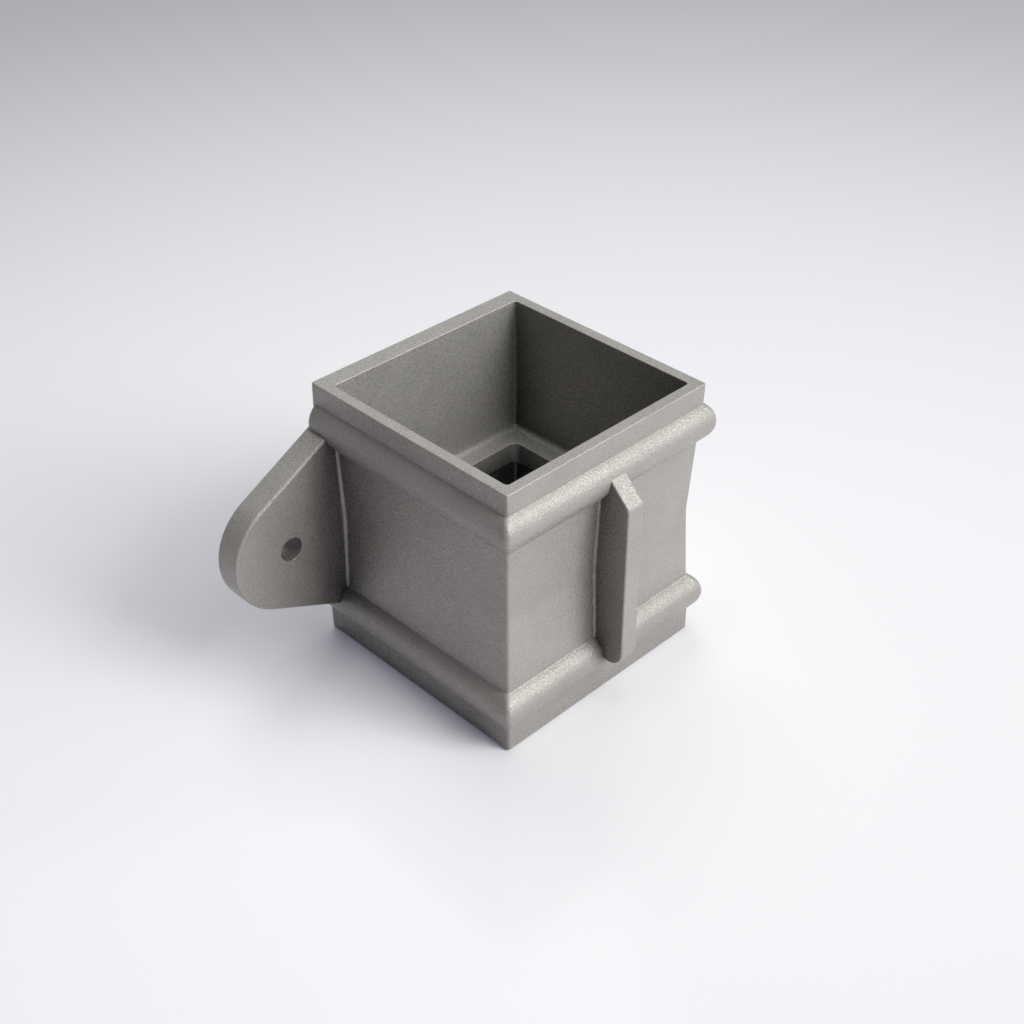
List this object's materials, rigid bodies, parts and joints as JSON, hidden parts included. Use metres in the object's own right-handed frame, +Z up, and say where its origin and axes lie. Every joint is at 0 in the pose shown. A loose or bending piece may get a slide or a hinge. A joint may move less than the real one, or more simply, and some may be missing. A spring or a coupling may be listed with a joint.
{
  "type": "downpipe socket",
  "caption": "Cast square downpipe socket with wall ears, raised beads, a front rib and an inner stop ledge; joins lengths of pipe and fixes them to a wall.",
  "frame": {"origin": "pipe axis, in the plane of the bottom edge", "axes": "+Z up along the pipe, +X across both ears, +Y towards the wall that the ears are bolted to"},
  "size_m": [0.173, 0.099, 0.1],
  "materials": {
    "cast_metal": "bare casting, shot blasted to an even fine grain, satin to matt"
  },
  "bodies": {
    "root": {"socket": "cast_metal"}
  },
  "joints": []
}
